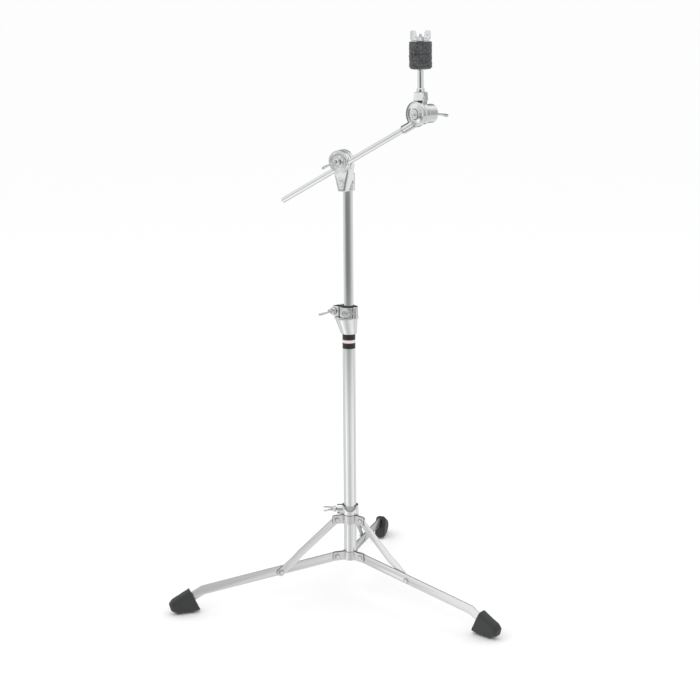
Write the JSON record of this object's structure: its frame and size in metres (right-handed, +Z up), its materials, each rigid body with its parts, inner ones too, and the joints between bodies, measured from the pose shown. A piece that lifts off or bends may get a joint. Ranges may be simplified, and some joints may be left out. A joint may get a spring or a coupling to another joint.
{
  "type": "cymbal boom stand",
  "caption": "Flat-base folding cymbal stand with a telescoping chrome column, a sliding tilting boom and a felt-padded cymbal tilter.",
  "frame": {"origin": "on the floor on the axis of the tubes, under the middle of the folding base", "axes": "+Z up along the tubes, +X towards the cymbal end of the boom, -Y the side that the boom tilter's wing nut faces"},
  "size_m": [0.6309, 0.6604, 1.1459],
  "materials": {
    "chrome_tube": "bright chrome-plated steel tube, lightly brushed along its length",
    "plated_strip": "satin nickel-plated steel strip",
    "chrome_casting": "polished chrome-plated zinc casting",
    "chrome_wing": "chrome-plated wing fastener",
    "steel_fastener": "chrome-plated steel rivets and bolts",
    "black_rubber": "moulded black rubber, satin",
    "black_nylon": "black nylon",
    "grey_nylon": "natural grey nylon",
    "fibre_washer": "dark fibre friction washer",
    "grey_felt": "pressed dark grey wool felt",
    "band_film": "plain black film band with a pale stripe"
  },
  "bodies": {
    "base": {"lower_tube": "chrome_tube", "tube_end_plug": "black_nylon", "label_band": "band_film", "lower_collar_segment_1": "plated_strip", "lower_collar_segment_2": "plated_strip", "lower_collar_segment_3": "plated_strip", "lower_collar_rivets": "steel_fastener", "clamp_body": "chrome_casting", "clamp_gate": "chrome_casting", "clamp_hinge_pin": "steel_fastener", "clamp_bolt": "steel_fastener", "clamp_bushing": "black_nylon"},
    "upper_collar": {"upper_collar_bushing": "grey_nylon", "upper_collar_ring": "chrome_casting", "upper_collar_segment_1": "plated_strip", "upper_collar_segment_2": "plated_strip", "upper_collar_segment_3": "plated_strip", "upper_collar_rivets": "steel_fastener"},
    "leg_front_right_body": {"leg_front_right": "plated_strip", "boot_front_right": "black_rubber", "leg_rivet_front_right": "steel_fastener"},
    "leg_rear_body": {"leg_rear": "plated_strip", "boot_rear": "black_rubber", "leg_rivet_rear": "steel_fastener"},
    "leg_front_left_body": {"leg_front_left": "plated_strip", "boot_front_left": "black_rubber", "leg_rivet_front_left": "steel_fastener"},
    "brace_front_right_body": {"brace_front_right": "plated_strip", "brace_rivet_front_right": "steel_fastener"},
    "brace_rear_body": {"brace_rear": "plated_strip", "brace_rivet_rear": "steel_fastener"},
    "brace_front_left_body": {"brace_front_left": "plated_strip", "brace_rivet_front_left": "steel_fastener"},
    "collar_screw": {"collar_wing_screw": "chrome_wing"},
    "clamp_nut": {"clamp_wing_nut": "chrome_wing"},
    "mast_guide": {"middle_tube_guide_bush": "black_nylon"},
    "mast": {"middle_tube": "chrome_tube", "boom_socket": "chrome_casting", "socket_rivets": "steel_fastener", "boom_bolt": "steel_fastener"},
    "boom_drum": {"drum_front_half": "chrome_casting", "drum_rear_half": "chrome_casting", "drum_friction_washer": "fibre_washer"},
    "boom_nut": {"boom_wing_nut": "chrome_wing"},
    "boom": {"boom_rod": "chrome_tube"},
    "tilter_mount": {"tilter_ear": "chrome_casting", "tilter_brake_washer": "fibre_washer", "tilter_bolt": "steel_fastener"},
    "tilter_nut": {"tilter_wing_nut": "chrome_wing"},
    "cymbal_holder": {"tilter_hub": "chrome_casting", "tilter_pressure_drum": "chrome_casting", "threaded_post": "chrome_tube", "post_collar_nut": "chrome_tube", "felt_seat_tube": "chrome_tube", "seat_washer": "chrome_tube", "cymbal_sleeve": "black_nylon", "lower_felt": "grey_felt", "middle_felt": "grey_felt", "upper_felt": "grey_felt"},
    "top_nut": {"top_wing_nut": "chrome_wing"}
  },
  "joints": [
    {"name": "leg_fold_front_right", "type": "hinge", "parent": "base", "child": "leg_front_right_body", "pos_m": [0.02954, -0.00521, 0.0817], "axis": [-0.1736, -0.9848, 0], "range_deg": [0, 79.22]},
    {"name": "leg_fold_rear", "type": "hinge", "parent": "base", "child": "leg_rear_body", "pos_m": [-0.01026, 0.02819, 0.0817], "axis": [0.9397, 0.342, 0], "range_deg": [0, 79.22]},
    {"name": "leg_fold_front_left", "type": "hinge", "parent": "base", "child": "leg_front_left_body", "pos_m": [-0.01928, -0.02298, 0.0817], "axis": [-0.766, 0.6428, 0], "range_deg": [0, 79.22]},
    {"name": "collar_slide", "type": "slide", "parent": "base", "child": "upper_collar", "axis": [0, 0, 1], "range_m": [0, 0.18607]},
    {"name": "brace_swing_front_right", "type": "hinge", "parent": "upper_collar", "child": "brace_front_right_body", "pos_m": [0.02954, -0.00521, 0.1611], "axis": [0.1736, 0.9848, 0], "range_deg": [0, 35.12]},
    {"name": "brace_swing_rear", "type": "hinge", "parent": "upper_collar", "child": "brace_rear_body", "pos_m": [-0.01026, 0.02819, 0.1611], "axis": [-0.9397, -0.342, 0], "range_deg": [0, 35.12]},
    {"name": "brace_swing_front_left", "type": "hinge", "parent": "upper_collar", "child": "brace_front_left_body", "pos_m": [-0.01928, -0.02298, 0.1611], "axis": [0.766, -0.6428, 0], "range_deg": [0, 35.12]},
    {"name": "height_slide", "type": "slide", "parent": "base", "child": "mast_guide", "axis": [0, 0, 1], "range_m": [-0.2, 0.15]},
    {"name": "mast_swivel", "type": "hinge", "parent": "mast_guide", "child": "mast", "pos_m": [0, 0, 0.6], "axis": [0, 0, 1], "continuous": true},
    {"name": "boom_tilt", "type": "hinge", "parent": "mast", "child": "boom_drum", "pos_m": [0.003, -0.0335, 0.898], "axis": [0, -1, 0], "range_deg": [-60, 57]},
    {"name": "boom_slide", "type": "slide", "parent": "boom_drum", "child": "boom", "axis": [0.8813, 0, 0.4726], "range_m": [-0.12, 0.13]},
    {"name": "tilter_roll", "type": "hinge", "parent": "boom", "child": "tilter_mount", "pos_m": [0.15738, -0.0335, 0.96983], "axis": [0.8813, 0, 0.4726], "range_deg": [-90, 90]},
    {"name": "cymbal_tilt", "type": "hinge", "parent": "tilter_mount", "child": "cymbal_holder", "pos_m": [0.177, -0.0235, 0.9929], "axis": [0.2756, 0.9613, 0], "range_deg": [-60, 60]},
    {"name": "collar_screw_turn", "type": "hinge", "parent": "upper_collar", "child": "collar_screw", "pos_m": [-0.02417, -0.0151, 0.181], "axis": [-0.848, -0.5299, 0], "range_deg": [-360, 0]},
    {"name": "clamp_nut_turn", "type": "hinge", "parent": "base", "child": "clamp_nut", "pos_m": [-0.02894, -0.00788, 0.5955], "axis": [-0.342, -0.9397, 0], "range_deg": [-360, 0]},
    {"name": "boom_nut_turn", "type": "hinge", "parent": "boom_drum", "child": "boom_nut", "pos_m": [0.003, -0.0413, 0.898], "axis": [0, -1, 0], "range_deg": [-360, 0]},
    {"name": "tilter_nut_turn", "type": "hinge", "parent": "tilter_mount", "child": "tilter_nut", "pos_m": [0.18508, 0.00466, 0.9929], "axis": [0.2756, 0.9613, 0], "range_deg": [-360, 0]},
    {"name": "top_nut_turn", "type": "hinge", "parent": "cymbal_holder", "child": "top_nut", "pos_m": [0.17522, -0.02299, 1.12569], "axis": [-0.0134, 0.0038, 0.9999], "range_deg": [-360, 0]}
  ],
  "couplings": [
    {"joint": "leg_fold_rear", "follows": "leg_fold_front_right", "ratio": 1},
    {"joint": "leg_fold_front_left", "follows": "leg_fold_front_right", "ratio": 1},
    {"joint": "collar_slide", "follows": "leg_fold_front_right", "m_per_rad": 0.13458},
    {"joint": "brace_swing_front_right", "follows": "leg_fold_front_right", "ratio": 0.44334},
    {"joint": "brace_swing_rear", "follows": "leg_fold_front_right", "ratio": 0.44334},
    {"joint": "brace_swing_front_left", "follows": "leg_fold_front_right", "ratio": 0.44334}
  ]
}
